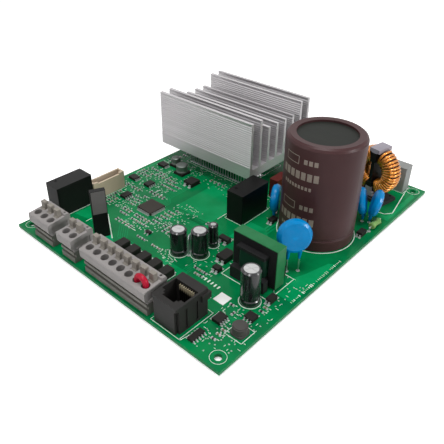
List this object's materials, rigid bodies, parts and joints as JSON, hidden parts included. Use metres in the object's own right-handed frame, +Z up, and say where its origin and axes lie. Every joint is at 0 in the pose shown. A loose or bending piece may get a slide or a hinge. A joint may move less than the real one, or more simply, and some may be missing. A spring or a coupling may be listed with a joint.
{
  "type": "dc motor driver module",
  "caption": "Populated circuit board that drives a DC motor: ribbed heat sink, bulk capacitor, choke, transformer, relays and pluggable terminals.",
  "frame": {"origin": "centre of the bounding box at the height of the solder joints' tips, which is the lowest level", "axes": "+X along the terminal edge, from the three-pole block to the jack; +Y from the terminal edge to the back edge; +Z up, away from the board"},
  "size_m": [0.13, 0.164, 0.0536],
  "materials": {
    "board_lacquer": "green lacquered glass laminate",
    "solder": "tin solder",
    "sink_aluminium": "extruded, fine ribs",
    "black_resin": "moulded resin",
    "tinned": "tinned leads",
    "screw_steel": "zinc plated",
    "terminal_grey": "light grey moulding",
    "lever_grey": "light grey moulding",
    "clamp_steel": "spring steel",
    "red_insulation": "red insulation",
    "jack_black": "black moulding",
    "gold": "gilt contacts",
    "relay_black": "black case",
    "panel_grey": "plain grey field",
    "cream": "cream moulding",
    "chip_body": "fired chip",
    "can_aluminium": "drawn can",
    "inductor_grey": "pressed powder core",
    "brown_sleeve": "shrunk sleeve",
    "black_sleeve": "shrunk sleeve",
    "rubber": "bung",
    "ferrite": "sintered ferrite",
    "green_tape": "polyester tape",
    "bobbin_grey": "moulded bobbin",
    "winding_tape": "dark green tape",
    "copper_enamel": "enamelled copper wire",
    "divider_grey": "moulded divider",
    "film_grey": "box capacitor case",
    "dark_red": "box capacitor case",
    "blue_epoxy": "dipped blue lacquer",
    "axial_green": "lacquered body",
    "label_white": "blank label"
  },
  "bodies": {
    "root": {"circuit_board": "board_lacquer", "solder_joints": "solder", "heat_sink": "sink_aluminium", "power_module": "black_resin", "module_legs": "tinned", "module_screws": "screw_steel", "terminal_headers": "terminal_grey", "terminal_plugs": "terminal_grey", "terminal_levers": "lever_grey", "terminal_clamps": "clamp_steel", "terminal_legs": "tinned", "jumper_link": "red_insulation", "jack_housing": "jack_black", "jack_contacts": "gold", "relay_cases": "relay_black", "relay_legs": "tinned", "upright_module": "relay_black", "upright_panel": "panel_grey", "upright_legs": "tinned", "ribbon_connector": "cream", "ribbon_pins": "tinned", "optocouplers": "black_resin", "optocoupler_leads": "tinned", "microcontroller": "black_resin", "microcontroller_leads": "tinned", "flat_packages": "black_resin", "flat_package_leads": "tinned", "power_packages": "black_resin", "power_package_tabs": "tinned", "chip_bodies": "chip_body", "chip_ends": "solder", "smd_can_bases": "black_resin", "smd_cans": "can_aluminium", "smd_inductor": "inductor_grey", "bulk_can": "can_aluminium", "bulk_sleeve": "brown_sleeve", "bulk_deck": "black_resin", "bulk_legs": "tinned", "radial_cans": "can_aluminium", "radial_sleeves": "black_sleeve", "radial_bungs": "rubber", "radial_legs": "tinned", "transformer_core": "ferrite", "transformer_tape": "green_tape", "transformer_bobbin": "bobbin_grey", "transformer_winding": "winding_tape", "transformer_pins": "tinned", "choke_core": "ferrite", "choke_winding": "copper_enamel", "choke_divider": "divider_grey", "choke_base": "black_resin", "film_capacitor": "film_grey", "snubber_capacitor": "dark_red", "box_capacitor_legs": "tinned", "disc_capacitors": "blue_epoxy", "disc_legs": "tinned", "wire_link": "tinned", "axial_body": "axial_green", "axial_legs": "tinned", "blank_label": "label_white"}
  },
  "joints": []
}
